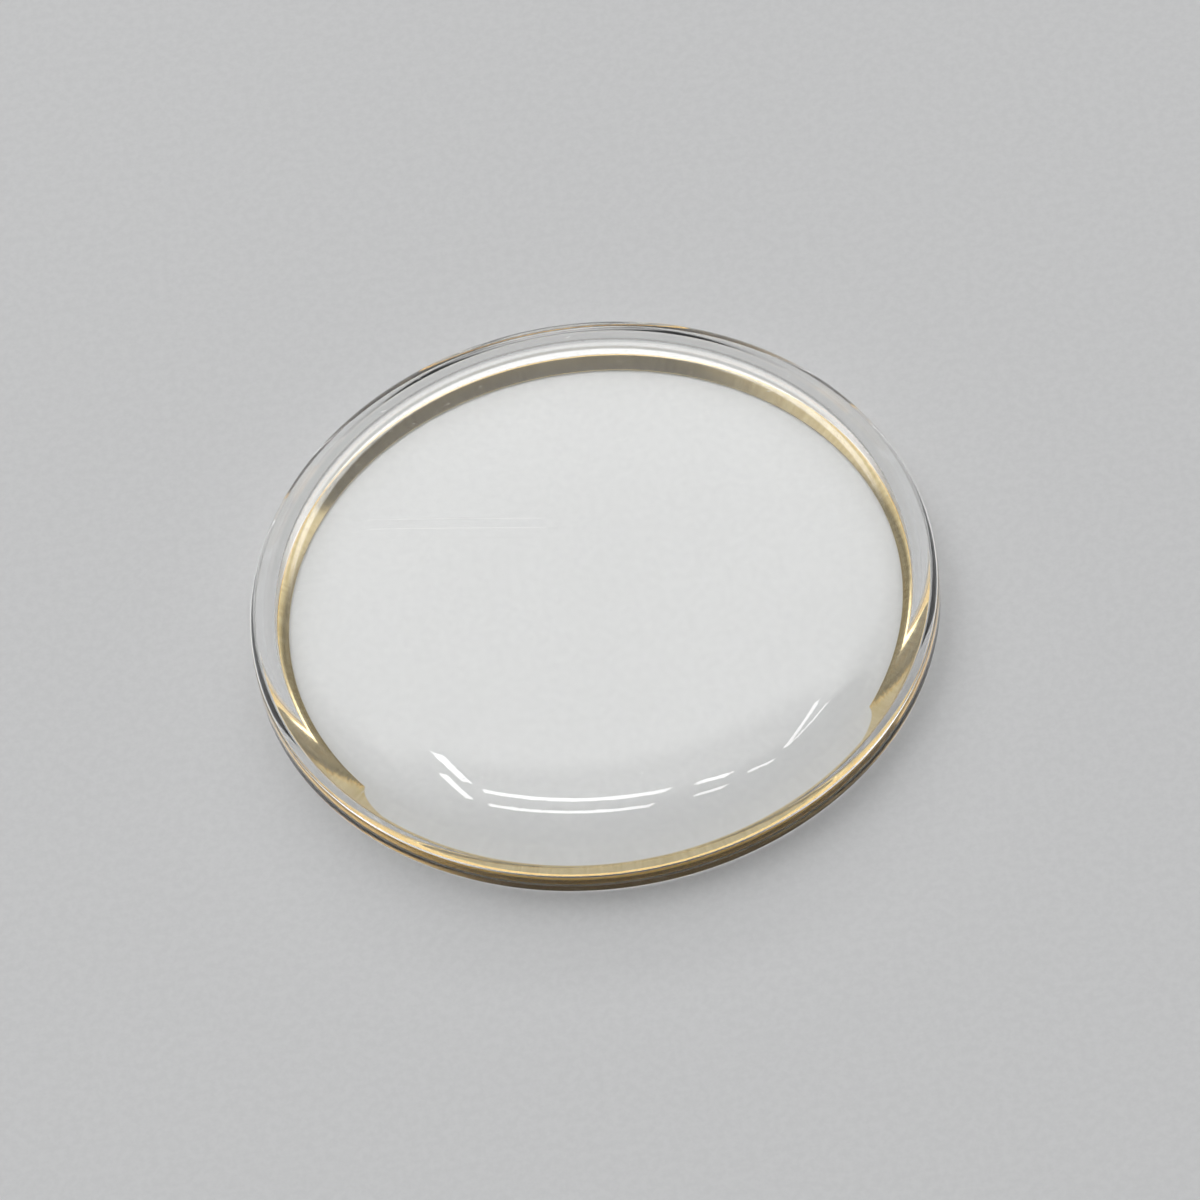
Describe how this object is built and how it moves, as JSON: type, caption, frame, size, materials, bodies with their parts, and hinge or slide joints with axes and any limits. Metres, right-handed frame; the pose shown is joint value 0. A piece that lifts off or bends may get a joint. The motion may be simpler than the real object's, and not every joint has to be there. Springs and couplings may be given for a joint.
{
  "type": "watch crystal",
  "caption": "Round domed acrylic watch crystal with a rolled shoulder, a short upright skirt and a bevelled metal tension ring seated in its foot.",
  "frame": {"origin": "centre of the foot circle, on the plane that the foot stands on", "axes": "+Z along the crystal's own axis, from the foot towards the top of the dome; the pieces are turned about Z, so X and Y are any two square directions in the foot plane"},
  "size_m": [0.03, 0.03, 0.0041],
  "materials": {
    "acrylic": "clear cast acrylic, polished, with fine wear",
    "ring_metal": "polished pale gold, with fine turning lines on the slope"
  },
  "bodies": {
    "ring": {"tension_ring": "ring_metal"},
    "crystal": {"crystal": "acrylic"}
  },
  "joints": [
    {"name": "crystal_lift", "type": "slide", "parent": "ring", "child": "crystal", "axis": [0, 0, 1], "range_m": [0, 0.0015]}
  ]
}
